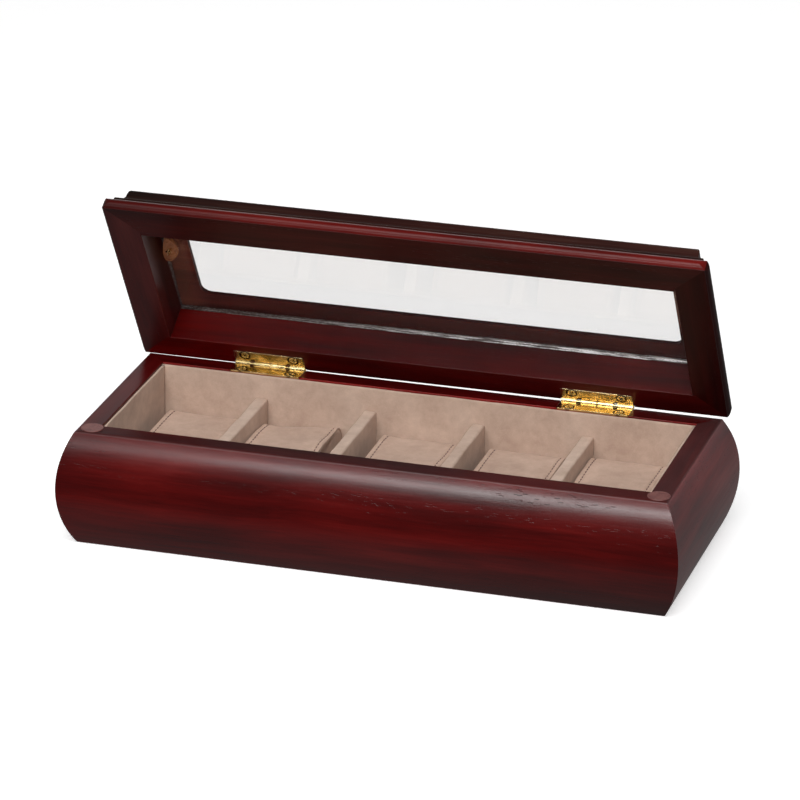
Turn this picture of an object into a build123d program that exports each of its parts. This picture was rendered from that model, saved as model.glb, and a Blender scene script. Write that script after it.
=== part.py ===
from build123d import *
import math
import os

# Wooden display box for five watches: a bowed, mitred body with five suede
# compartments and loose pillows, and a hinged lid with a moulded edge and a
# glass window. Millimetres. Origin at the centre of the body's footprint,
# +X to the right, +Y to the hinges, +Z up. The lid is drawn closed and then
# turned about its hinge to its open rest angle.

# ---- body -------------------------------------------------------------
RIM_L = 300.0            # rim and footprint length, corner to corner
RIM_D = 111.6            # rim and footprint depth
BODY_H = 59.55           # height of the rim
BOW = 8.07               # how far each side bulges at mid-height
WALL = 10.5              # board thickness at the rim
RABBET_W = 4.0           # rabbet for the bottom panel
RABBET_H = 5.0
FELT_T = 0.8
ARRIS = 0.7              # softened edges of the boards
BACK_ARRIS = 0.45        # a tighter edge under the hinges

# ---- lining and dividers ----------------------------------------------
LINING_T = 1.5
LINING_DROP = 0.8        # bare wood between the rim and the lining's top edge
DIV_T = 6.4
DIV_TOP = 47.0
DIV_X = (-86.0, -28.6, 28.3, 84.7)   # centres, as fitted by hand

# ---- pillows ------------------------------------------------------------
PIL_W = 46.0             # along X, end panels included
PIL_D = 86.0             # along Y
PIL_GAP = 0.3            # clear of the floor lining
PIL_TOP = 38.0
PIL_R = 10.0             # roll radius of the band
PIL_SKIN = 2.5           # cover and wadding
PIL_X = (-113.6, -59.6, 0.0, 56.5, 111.2)
PIL_Y = -0.1

# ---- lid ----------------------------------------------------------------
LID_GAP = 0.45           # held off the rim by the bumper dots
LID_SKEW = -0.3          # the lid's frame sits a hair out of square on its hinges, degrees
LID_HALF = 153.0         # flat underside, half length
LID_FRONT = -57.9        # flat underside, front edge
LID_BACK = 56.1          # flat underside, back edge
REC_HALF = 136.45        # recess, half length
REC_FRONT = -39.1        # recess, front wall
REC_BACK = 41.2          # recess, back wall
RAIL_H = 20.2            # rail height = depth of the recess to the glass
PLATE_H = 5.4            # top plate thickness
POCKET = 2.6             # pocket for the glass in the plate's underside
BEVEL_K0, BEVEL_K1 = 10.9, 18.0
CORNER_BEAD = 5.5        # plan radius of the moulding's bead at the lid's corners
CORNER_PLATE = 4.0       # the same on the top plate's bevel
WIN_HALF = 125.7         # window half length
WIN_DX = 2.0             # the window sits a little to the right of the lid's middle
WIN_BORDER = 11.0        # plate between the recess wall and the window, front and back
WIN_R = 5.0
GLASS_T = 2.5
GLASS_CLEAR = 0.2

# ---- hinges -------------------------------------------------------------
HINGE_X = {-1: -85.3, 1: 86.3}   # centres of the left and right hinge
HINGE_L = 37.0
PIVOT_Y = 56.0
PIVOT_Z = BODY_H + 0.22
BARREL_R = 1.6
PIN_R = 0.8
PIN_CLEAR = 0.05
LEAF_T = 1.0
LEAF_PROUD = 0.15
LEAF_FRONT = 45.35       # y of the base leaf's free edge
LID_LEAF_FRONT = 46.9    # y of the lid leaf's free edge, lid shut
KNUCKLES_LID = ((-18.5, -10.7), (10.4, 18.5))
KNUCKLES_BASE = ((-8.4, -0.35), (0.2, 8.3))
SCREW_DX = 12.8
SCREW_Y = 48.3           # in the base leaf
LID_SCREW_Y = 49.7       # in the lid leaf, lid shut
SCREW_R = 1.0
SCREW_HEAD_R = 2.15
SINK_R = 0.28            # countersink round the screw heads
SCREW_L = 9.0

# ---- bumpers ------------------------------------------------------------
BUMP_R = 5.6
BUMP_T = 0.4
BUMP_X, BUMP_Y = {-1: -143.2, 1: 144.3}, -49.6

# ---- glass clip -----------------------------------------------------------
CLIP_OFF, CLIP_U, CLIP_W = 3.39, 62.5, 17.6   # its middle: off the recess wall, from the lid's back edge, from the underside
CLIP_TILT = 75.0              # its face leans this far from facing straight off the wall
CLIP_LIP = 0.45               # raised edge round the hollow face
CLIP_LEAF = [(11.6, -0.3), (7.2, -1.75), (2.6, -2.85), (-0.8, -3.4), (-3.8, -3.3), (-6.3, -2.3), (-6.9, -0.4),
             (-5.2, 1.9), (-2.8, 3.7), (0.6, 4.85), (4.65, 4.2), (8.15, 2.5)]   # outline from its point: towards the lid's front, up the face
CLIP_SCREW_TILT = 14.0
CLIP_SCREW_R = 2.2

OPEN_REST = 59.3         # lid angle at rest

os.makedirs("parts", exist_ok=True)
out = {}


def put(name, shape):
    solids = shape.solids()
    assert solids, name
    out[name] = solids[0] if len(solids) == 1 else Compound(children=[Solid(s.wrapped) for s in solids])


def face_from(start, segs, to3d):
    edges = []
    p = start
    for s in segs:
        if len(s) == 2:
            edges.append(Edge.make_line(to3d(*p), to3d(*s)))
            p = s
        else:
            mid, end = (s[0], s[1]), (s[2], s[3])
            edges.append(Edge.make_three_point_arc(to3d(*p), to3d(*mid), to3d(*end)))
            p = end
    edges.append(Edge.make_line(to3d(*p), to3d(*start)))
    return Face(Wire(edges))


def prism(points, z0, z1):
    pts = [Vector(x, y, z0) for x, y in points]
    edges = [Edge.make_line(pts[i], pts[(i + 1) % len(pts)]) for i in range(len(pts))]
    return extrude(Face(Wire(edges)), z1 - z0, dir=(0, 0, 1))


def block(x0, x1, y0, y1, z0, z1):
    return Pos((x0 + x1) / 2, (y0 + y1) / 2, (z0 + z1) / 2) * Box(x1 - x0, y1 - y0, z1 - z0)


def rod_x(x0, x1, y, z, r):
    return Pos((x0 + x1) / 2, y, z) * Rot(0, 90, 0) * Cylinder(r, x1 - x0)


# ------------------------------------------------------------------ body
R_BOW = ((BODY_H / 2) ** 2 + BOW ** 2) / (2 * BOW)


def bulge(z):
    return math.sqrt(R_BOW ** 2 - (z - BODY_H / 2) ** 2) - (R_BOW - BOW)


def board_face(to3d, wall=WALL, arris=ARRIS):
    # coordinates: inset from the footprint line (negative is outwards), height
    zb, zt = 0.5, BODY_H - arris
    return face_from(
        (0.5, 0.0),
        [(-bulge(zb), zb),
         (-BOW, BODY_H / 2, -bulge(zt), zt),
         (0.17 * arris, BODY_H - 0.31 * arris, 1.07 * arris, BODY_H),
         (wall - 0.5, BODY_H),
         (wall - 0.12, BODY_H - 0.15, wall, BODY_H - 0.5),
         (wall, RABBET_H),
         (wall - RABBET_W, RABBET_H),
         (wall - RABBET_W, 0.0)],
        to3d)


LX, LY = RIM_L / 2, RIM_D / 2
FAR = 40.0
# plan regions of the mitred boards: 45 degree planes through the footprint's corners
front_plan = [(-LX - FAR, -LY - FAR), (LX + FAR, -LY - FAR), (LX - 30, -LY + 30), (-LX + 30, -LY + 30)]
IX, IY = LX - WALL, LY - WALL            # inside faces of the boards
IYB = IY
back_plan = [(x, -y) for x, y in front_plan]
left_plan = [(-LX - FAR, -LY - FAR), (-LX + 30, -LY + 30), (-LX + 30, LY - 30), (-LX - FAR, LY + FAR)]
right_plan = [(-x, y) for x, y in left_plan]

front_board = extrude(board_face(lambda i, z: Vector(-LX - 30, -LY + i, z)), 2 * LX + 60, dir=(1, 0, 0)) & prism(front_plan, -1, BODY_H + 1)
back_board = extrude(board_face(lambda i, z: Vector(-LX - 30, LY - i, z), arris=BACK_ARRIS), 2 * LX + 60, dir=(1, 0, 0)) & prism(back_plan, -1, BODY_H + 1)
left_board = extrude(board_face(lambda i, z: Vector(-LX + i, -LY - 30, z)), 2 * LY + 60, dir=(0, 1, 0)) & prism(left_plan, -1, BODY_H + 1)
right_board = extrude(board_face(lambda i, z: Vector(LX - i, -LY - 30, z)), 2 * LY + 60, dir=(0, 1, 0)) & prism(right_plan, -1, BODY_H + 1)

RX, RY, RYB = IX + RABBET_W, IY + RABBET_W, IYB + RABBET_W    # inside faces of the rabbet

leaf_top = BODY_H + LEAF_PROUD
leaf_bot = leaf_top - LEAF_T
lid_z = BODY_H + LID_GAP
lid_leaf_bot = lid_z - LEAF_PROUD
lid_leaf_top = lid_leaf_bot + LEAF_T
neck_y = PIVOT_Y - BARREL_R - 0.3

for sx in (-1, 1):
    hx = HINGE_X[sx]
    # seat for the leaf and room for the barrel
    back_board -= block(hx - HINGE_L / 2 - 0.1, hx + HINGE_L / 2 + 0.1, LEAF_FRONT - 0.1, LY + 2, leaf_bot, BODY_H + 1)
    back_board -= rod_x(hx - HINGE_L / 2 - 0.7, hx + HINGE_L / 2 + 0.7, PIVOT_Y, PIVOT_Z, BARREL_R + 0.35)
    for dx in (-SCREW_DX, SCREW_DX):
        back_board -= Pos(hx + dx, SCREW_Y, leaf_bot - SCREW_L / 2) * Cylinder(SCREW_R + 0.02, SCREW_L + 1)

put("front_board", front_board)
put("back_board", back_board)
put("left_end_board", left_board)
put("right_end_board", right_board)
put("bottom_panel", block(-RX, RX, -RY, RYB, FELT_T, RABBET_H))
felt = block(-RX + 0.2, RX - 0.2, -RY + 0.2, RYB - 0.2, 0, FELT_T)
put("base_felt", felt)

# ---------------------------------------------------------------- lining
fz = RABBET_H + LINING_T
lz = BODY_H - LINING_DROP
put("floor_lining", block(-IX, IX, -IY, IYB, RABBET_H, fz))


def lining(x0, x1, y0, y1, top_edges):
    s = block(x0, x1, y0, y1, fz, lz)
    return fillet(top_edges(s), 0.5)


put("rear_lining", lining(-IX, IX, IYB - LINING_T, IYB, lambda s: s.edges().filter_by(Axis.X).sort_by(lambda e: e.center().Z * 10 - e.center().Y)[-1:]))
put("front_lining", lining(-IX, IX, -IY, -IY + LINING_T, lambda s: s.edges().filter_by(Axis.X).sort_by(lambda e: e.center().Z * 10 + e.center().Y)[-1:]))
put("left_lining", lining(-IX, -IX + LINING_T, -IY + LINING_T, IYB - LINING_T, lambda s: s.edges().filter_by(Axis.Y).sort_by(lambda e: e.center().Z * 10 + e.center().X)[-1:]))
put("right_lining", lining(IX - LINING_T, IX, -IY + LINING_T, IYB - LINING_T, lambda s: s.edges().filter_by(Axis.Y).sort_by(lambda e: e.center().Z * 10 - e.center().X)[-1:]))

CX, CY, CYB = IX - LINING_T, IY - LINING_T, IYB - LINING_T     # faces of the lining
for i, xc in enumerate(DIV_X):
    d = block(xc - DIV_T / 2, xc + DIV_T / 2, -CY, CYB, fz, DIV_TOP)
    d = fillet(d.edges().filter_by(Axis.Y).sort_by(Axis.Z)[-2:], 1.1)
    put(f"divider_{i + 1}", d)

# --------------------------------------------------------------- bumpers
for n, sx in (("left", -1), ("right", 1)):
    b = Pos(BUMP_X[sx], BUMP_Y, BODY_H + BUMP_T / 2) * Cylinder(BUMP_R, BUMP_T)
    b = fillet(b.edges().filter_by(GeomType.CIRCLE).sort_by(Axis.Z)[-1:], 0.2)
    put(f"rim_bumper_{n}", b)

# ------------------------------------------------------------- hinge parts
base_screws, lid_screws = [], []


def screw(x, y, z_head, up):
    """Countersunk screw with a cross recess; its head's face is at z_head."""
    k = 1.0 if up else -1.0
    head = Cone(SCREW_R, SCREW_HEAD_R, 1.0) if up else Cone(SCREW_HEAD_R, SCREW_R, 1.0)
    s = Pos(x, y, z_head - k * 0.5) * head
    s += Pos(x, y, z_head - k * (1.0 + (SCREW_L - 1.6) / 2)) * Cylinder(SCREW_R, SCREW_L - 1.6)
    tip_z = z_head - k * (1.0 + SCREW_L - 1.6)
    tip = Cone(0.15, SCREW_R, 1.4) if up else Cone(SCREW_R, 0.15, 1.4)
    s += Pos(x, y, tip_z - k * 0.7) * tip
    for ang in (35, 125):
        s -= Pos(x, y, z_head) * Rot(0, 0, ang) * Box(2.5, 0.55, 0.9)
    return s


for n, sx in (("left", -1), ("right", 1)):
    hx = HINGE_X[sx]
    x0, x1 = hx - HINGE_L / 2, hx + HINGE_L / 2
    # base leaf: plate, then the two middle knuckles joined to it
    leaf = block(x0, x1, LEAF_FRONT, neck_y, leaf_bot, leaf_top)
    leaf = fillet(leaf.edges().filter_by(Axis.Z).sort_by(Axis.Y)[:2], 0.8)
    for a, b in KNUCKLES_BASE:
        leaf += block(hx + a, hx + b, neck_y - 0.5, PIVOT_Y, leaf_bot, leaf_top)
        leaf += rod_x(hx + a, hx + b, PIVOT_Y, PIVOT_Z, BARREL_R)
    leaf -= rod_x(x0 - 1, x1 + 1, PIVOT_Y, PIVOT_Z, PIN_R + PIN_CLEAR)
    for dx in (-SCREW_DX, SCREW_DX):
        leaf -= Pos(hx + dx, SCREW_Y, leaf_top - LEAF_T / 2) * Cone(SCREW_R + SINK_R, SCREW_HEAD_R + SINK_R, LEAF_T)
        base_screws.append(screw(hx + dx, SCREW_Y, leaf_top - 0.03, True))
    put(f"hinge_base_leaf_{n}", leaf)
    # pin
    pin = rod_x(x0 - 0.3, x1 + 0.3, PIVOT_Y, PIVOT_Z, PIN_R)
    pin = fillet(pin.edges().filter_by(GeomType.CIRCLE), 0.25)
    put(f"hinge_pin_{n}", pin)

put("base_hinge_screws", Compound(children=base_screws))

# -------------------------------------------------------------------- lid
Z0 = lid_z


def rail_face(width, to3d):
    # coordinates: inset from the flat underside's edge, height above the underside
    return face_from(
        (0.35, 0.0),
        [(0.08, 0.08, 0.0, 0.35),
         (-1.55, 3.2, 0.4, 6.5),
         (1.35, 7.4, 2.7, 8.3),
         (2.85, 9.5),
         (3.08, 10.05, 3.6, 10.3),
         (6.0, 12.3, 6.75, 15.6),
         (7.0, 16.9),
         (8.0, 19.25, BEVEL_K0, RAIL_H),
         (width, RAIL_H),
         (width, 0.5),
         (width - 0.12, 0.12, width - 0.5, 0.0)],
        to3d)


WS = LID_HALF - REC_HALF                 # side rail width
WF = REC_FRONT - LID_FRONT               # front rail width
WB = LID_BACK - REC_BACK                 # back rail width
E = 12.0
zt, zb2 = Z0 + 40, Z0 - 5
# plan regions: 45 degrees from the outer corners as far as the narrower rail
# reaches, then square to the recess corner
mf = min(WS, WF)
mb = min(WS, WB)
front_lid_plan = [(-LID_HALF - E, LID_FRONT - E), (LID_HALF + E, LID_FRONT - E), (LID_HALF - mf, LID_FRONT + mf), (REC_HALF, REC_FRONT + 0.0),
                  (-REC_HALF, REC_FRONT + 0.0), (-LID_HALF + mf, LID_FRONT + mf)]
back_lid_plan = [(-LID_HALF - E, LID_BACK + E), (-LID_HALF + mb, LID_BACK - mb), (-REC_HALF, REC_BACK), (REC_HALF, REC_BACK),
                 (LID_HALF - mb, LID_BACK - mb), (LID_HALF + E, LID_BACK + E)]


def dedupe(pts):
    res = []
    for p in pts:
        if not res or math.dist(p, res[-1]) > 1e-6:
            res.append(p)
    if math.dist(res[0], res[-1]) < 1e-6:
        res.pop()
    return res


lid_front_rail = extrude(rail_face(WF, lambda k, w: Vector(-LID_HALF - 10, LID_FRONT + k, Z0 + w)), 2 * LID_HALF + 20, dir=(1, 0, 0)) & prism(dedupe(front_lid_plan), zb2, zt)
lid_rear_rail = extrude(rail_face(WB, lambda k, w: Vector(-LID_HALF - 10, LID_BACK - k, Z0 + w)), 2 * LID_HALF + 20, dir=(1, 0, 0)) & prism(dedupe(back_lid_plan), zb2, zt)


def side_plan(s):
    pts = [(-LID_HALF - E, LID_FRONT - E), (-LID_HALF + mf, LID_FRONT + mf), (-REC_HALF, LID_FRONT + mf if mf < WF else REC_FRONT),
           (-REC_HALF, REC_BACK), (-LID_HALF + mb, LID_BACK - mb), (-LID_HALF - E, LID_BACK + E)]
    return dedupe([(s * -x, y) for x, y in pts])


lid_left_rail = extrude(rail_face(WS, lambda k, w: Vector(-LID_HALF + k, LID_FRONT - 10, Z0 + w)), LID_BACK - LID_FRONT + 20, dir=(0, 1, 0)) & prism(side_plan(-1), zb2, zt)
lid_right_rail = extrude(rail_face(WS, lambda k, w: Vector(LID_HALF - k, LID_FRONT - 10, Z0 + w)), LID_BACK - LID_FRONT + 20, dir=(0, 1, 0)) & prism(side_plan(1), zb2, zt)

# top plate: bevelled edge, pocket for the glass underneath, rounded window
px0, px1 = -LID_HALF + BEVEL_K0, LID_HALF - BEVEL_K0
py0, py1 = LID_FRONT + BEVEL_K0, LID_BACK - BEVEL_K0
dk = BEVEL_K1 - BEVEL_K0
lower = Face(Wire([Edge.make_line(a, b) for a, b in zip(
    [Vector(px0, py0, Z0 + RAIL_H), Vector(px1, py0, Z0 + RAIL_H), Vector(px1, py1, Z0 + RAIL_H), Vector(px0, py1, Z0 + RAIL_H)],
    [Vector(px1, py0, Z0 + RAIL_H), Vector(px1, py1, Z0 + RAIL_H), Vector(px0, py1, Z0 + RAIL_H), Vector(px0, py0, Z0 + RAIL_H)])]))
upper = Face(Wire([Edge.make_line(a, b) for a, b in zip(
    [Vector(px0 + dk, py0 + dk, Z0 + RAIL_H + PLATE_H), Vector(px1 - dk, py0 + dk, Z0 + RAIL_H + PLATE_H), Vector(px1 - dk, py1 - dk, Z0 + RAIL_H + PLATE_H), Vector(px0 + dk, py1 - dk, Z0 + RAIL_H + PLATE_H)],
    [Vector(px1 - dk, py0 + dk, Z0 + RAIL_H + PLATE_H), Vector(px1 - dk, py1 - dk, Z0 + RAIL_H + PLATE_H), Vector(px0 + dk, py1 - dk, Z0 + RAIL_H + PLATE_H), Vector(px0 + dk, py0 + dk, Z0 + RAIL_H + PLATE_H)])]))
plate = loft([lower, upper])
plate = fillet(plate.edges().filter_by(lambda e: abs(e.center().Z - (Z0 + RAIL_H + PLATE_H / 2)) < 1e-3), CORNER_PLATE)
plate = fillet(plate.edges().filter_by(lambda e: abs(e.center().Z - (Z0 + RAIL_H + PLATE_H)) < 1e-4), 1.2)
plate -= block(-REC_HALF, REC_HALF, REC_FRONT, REC_BACK, Z0 + RAIL_H - 1, Z0 + RAIL_H + POCKET)
rec_mid = (REC_FRONT + REC_BACK) / 2
win_d = (REC_BACK - REC_FRONT) - 2 * WIN_BORDER
win = extrude(Pos(WIN_DX, rec_mid, Z0 + RAIL_H) * RectangleRounded(2 * WIN_HALF, win_d, WIN_R), PLATE_H + 1)
plate -= win
edges = plate.edges().filter_by(lambda e: abs(e.center().Z - (Z0 + RAIL_H + PLATE_H)) < 1e-4 and abs(e.center().X - WIN_DX) < WIN_HALF + 1 and abs(e.center().Y - rec_mid) < win_d / 2 + 1)
plate = fillet(edges, 0.8)

# the bead is rounded over at the four corners
round_off = extrude(Pos(0, (LID_FRONT + LID_BACK) / 2, Z0 - 1) * RectangleRounded(2 * LID_HALF + 3.14, LID_BACK - LID_FRONT + 3.14, CORNER_BEAD), RAIL_H + 2)
lid_front_rail &= round_off
lid_rear_rail &= round_off
lid_left_rail &= round_off
lid_right_rail &= round_off

glass = block(-REC_HALF + GLASS_CLEAR, REC_HALF - GLASS_CLEAR, REC_FRONT + GLASS_CLEAR, REC_BACK - GLASS_CLEAR,
              Z0 + RAIL_H + POCKET - GLASS_T - 0.02, Z0 + RAIL_H + POCKET - 0.02)

lid_parts = {}
# glass clip: a hollow leaf wedged into the corner of the recess, screwed into the left rail
t = math.radians(CLIP_TILT)
wall_x = -REC_HALF
c = Vector(wall_x + CLIP_OFF, LID_BACK - CLIP_U, Z0 + CLIP_W)
# face plane: x runs to the lid's front, y off the wall and deeper into the lid, z out of the face
zdir = Vector(math.cos(t), 0, -math.sin(t))
pl = Plane(origin=c, x_dir=Vector(0, -1, 0), z_dir=zdir)
up = 1 if pl.y_dir.Z > 0 else -1


def leaf_face(k):
    """The outline, drawn in by k all round."""
    cx, cy = 0.6, 0.7
    pts = []
    for u, v in CLIP_LEAF:
        r = math.hypot(u - cx, v - cy)
        pts.append((cx + (u - cx) * (r - k) / r, up * (cy + (v - cy) * (r - k) / r)))
    return Face(Wire([Edge.make_spline([Vector(*q) for q in pts + pts[:1]])]))


keep_in = block(wall_x, wall_x + 20, c.Y - 16, c.Y + 16, Z0 + 2, Z0 + RAIL_H + 0.05)
clip = Pos(0, 0, -9) * extrude(leaf_face(0.0), 9 + CLIP_LIP, dir=(0, 0, 1))
clip -= extrude(leaf_face(1.0), 2, dir=(0, 0, 1))
clip = (pl * clip) & keep_in
st = math.radians(CLIP_SCREW_TILT)
ps = Plane(origin=c, x_dir=Vector(0, -1, 0), z_dir=Vector(math.cos(st), 0, -math.sin(st)))
seat = ps * (Pos(0, 0, 1.1) * Cylinder(CLIP_SCREW_R + 0.35, 2.2))
hole = ps * (Pos(0, 0, -0.5) * Cone(SCREW_R + 0.02, CLIP_SCREW_R + 0.02, 1.0) + Pos(0, 0, -4.3) * Cylinder(SCREW_R + 0.02, 6.8))
sc = Pos(0, 0, -0.5) * Cone(SCREW_R, CLIP_SCREW_R, 1.0)
sc += Pos(0, 0, -1.0 - 2.6) * Cylinder(SCREW_R, 5.2)
sc += Pos(0, 0, -6.2 - 0.6) * Cone(0.15, SCREW_R, 1.2)
for ang in (20, 110):
    sc -= Rot(0, 0, ang) * Box(2.5, 0.5, 0.9)
lid_left_rail -= hole
clip = clip - hole - seat
lid_parts["glass_clip"] = Compound(children=list(clip.solids())) if len(clip.solids()) > 1 else clip
lid_parts["glass_clip_screw"] = ps * sc
print("clip solids", len(clip.solids()), [round(q.volume, 1) for q in clip.solids()])

# everything but the hinges is a hair out of square
skew_axis = Axis((0, PIVOT_Y, 0), (0, 0, 1))
lid_front_rail, lid_rear_rail, lid_left_rail, lid_right_rail, plate, glass = [
    q.rotate(skew_axis, LID_SKEW) for q in (lid_front_rail, lid_rear_rail, lid_left_rail, lid_right_rail, plate, glass)]
lid_parts = {n: q.rotate(skew_axis, LID_SKEW) for n, q in lid_parts.items()}

# lid leaves, their seats and screws
for n, sx in (("left", -1), ("right", 1)):
    hx = HINGE_X[sx]
    x0, x1 = hx - HINGE_L / 2, hx + HINGE_L / 2
    lid_rear_rail -= block(x0 - 0.1, x1 + 0.1, LID_LEAF_FRONT - 0.1, LID_BACK + 3, Z0 - 1, lid_leaf_top)
    lid_rear_rail -= rod_x(x0 - 0.7, x1 + 0.7, PIVOT_Y, PIVOT_Z, BARREL_R + 0.35)
    for dx in (-SCREW_DX, SCREW_DX):
        lid_rear_rail -= Pos(hx + dx, LID_SCREW_Y, lid_leaf_top + SCREW_L / 2) * Cylinder(SCREW_R + 0.02, SCREW_L + 1)
    leaf = block(x0, x1, LID_LEAF_FRONT, neck_y, lid_leaf_bot, lid_leaf_top)
    leaf = fillet(leaf.edges().filter_by(Axis.Z).sort_by(Axis.Y)[:2], 0.8)
    for a, b in KNUCKLES_LID:
        leaf += block(hx + a, hx + b, neck_y - 0.5, PIVOT_Y, lid_leaf_bot, lid_leaf_top)
        leaf += rod_x(hx + a, hx + b, PIVOT_Y, PIVOT_Z, BARREL_R)
    leaf -= rod_x(x0 - 1, x1 + 1, PIVOT_Y, PIVOT_Z, PIN_R + PIN_CLEAR)
    for dx in (-SCREW_DX, SCREW_DX):
        leaf -= Pos(hx + dx, LID_SCREW_Y, lid_leaf_bot + LEAF_T / 2) * Cone(SCREW_HEAD_R + SINK_R, SCREW_R + SINK_R, LEAF_T)
        lid_screws.append(screw(hx + dx, LID_SCREW_Y, lid_leaf_bot + 0.03, False))
    lid_parts[f"hinge_lid_leaf_{n}"] = leaf


lid_parts["lid_front_rail"] = lid_front_rail
lid_parts["lid_rear_rail"] = lid_rear_rail
lid_parts["lid_left_rail"] = lid_left_rail
lid_parts["lid_right_rail"] = lid_right_rail
lid_parts["lid_top_plate"] = plate
lid_parts["glass_pane"] = glass
lid_parts["lid_hinge_screws"] = Compound(children=lid_screws)

hinge_axis = Axis((0, PIVOT_Y, PIVOT_Z), (-1, 0, 0))
for name, shape in lid_parts.items():
    put(name, shape.rotate(hinge_axis, OPEN_REST))

# ---------------------------------------------------------------- pillows
pz0 = fz + PIL_GAP
ph = PIL_TOP - pz0


def pillow_block(w, d, h, r, edge):
    sk = Plane.YZ * RectangleRounded(d, h, r)
    b = extrude(sk, w / 2, both=True)
    ends = b.edges().filter_by(lambda e: abs(abs(e.center().X) - w / 2) < 1e-4)
    return fillet(ends, edge)


for i, xc in enumerate(PIL_X):
    zc = (pz0 + PIL_TOP) / 2
    outer = pillow_block(PIL_W, PIL_D, ph, PIL_R, 4.0)
    s = PIL_SKIN
    inner = pillow_block(PIL_W - 2 * s, PIL_D - 2 * s, ph - 2 * s, PIL_R - s, 1.6)
    core = pillow_block(PIL_W - 2 * s - 0.04, PIL_D - 2 * s - 0.04, ph - 2 * s - 0.04, PIL_R - s - 0.02, 1.6)
    put(f"pillow_{i + 1}_cover", Pos(xc, PIL_Y, zc) * (outer - inner))
    put(f"pillow_{i + 1}_foam", Pos(xc, PIL_Y, zc) * core)

for name, shape in out.items():
    export_step(shape, f"parts/{name}.step")
print(len(out), "nodes")
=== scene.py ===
import math
import random

import bmesh
import bpy
import numpy as np
from mathutils import Matrix, Vector, noise
from mathutils.bvhtree import BVHTree


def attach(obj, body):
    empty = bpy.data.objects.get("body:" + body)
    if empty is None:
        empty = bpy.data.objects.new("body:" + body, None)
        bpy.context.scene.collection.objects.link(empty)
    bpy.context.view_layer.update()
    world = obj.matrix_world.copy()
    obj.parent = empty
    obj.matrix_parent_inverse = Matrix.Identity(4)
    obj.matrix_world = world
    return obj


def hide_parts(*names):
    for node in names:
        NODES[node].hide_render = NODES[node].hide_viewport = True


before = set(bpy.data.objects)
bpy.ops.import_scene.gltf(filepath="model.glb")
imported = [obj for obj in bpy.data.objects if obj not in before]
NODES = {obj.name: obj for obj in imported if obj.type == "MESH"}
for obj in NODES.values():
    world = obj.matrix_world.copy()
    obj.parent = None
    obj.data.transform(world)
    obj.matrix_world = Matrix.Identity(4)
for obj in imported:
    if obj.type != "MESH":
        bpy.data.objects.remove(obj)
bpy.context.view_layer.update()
MM = 0.001

# ------------------------------------------------------------------ helpers


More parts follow.
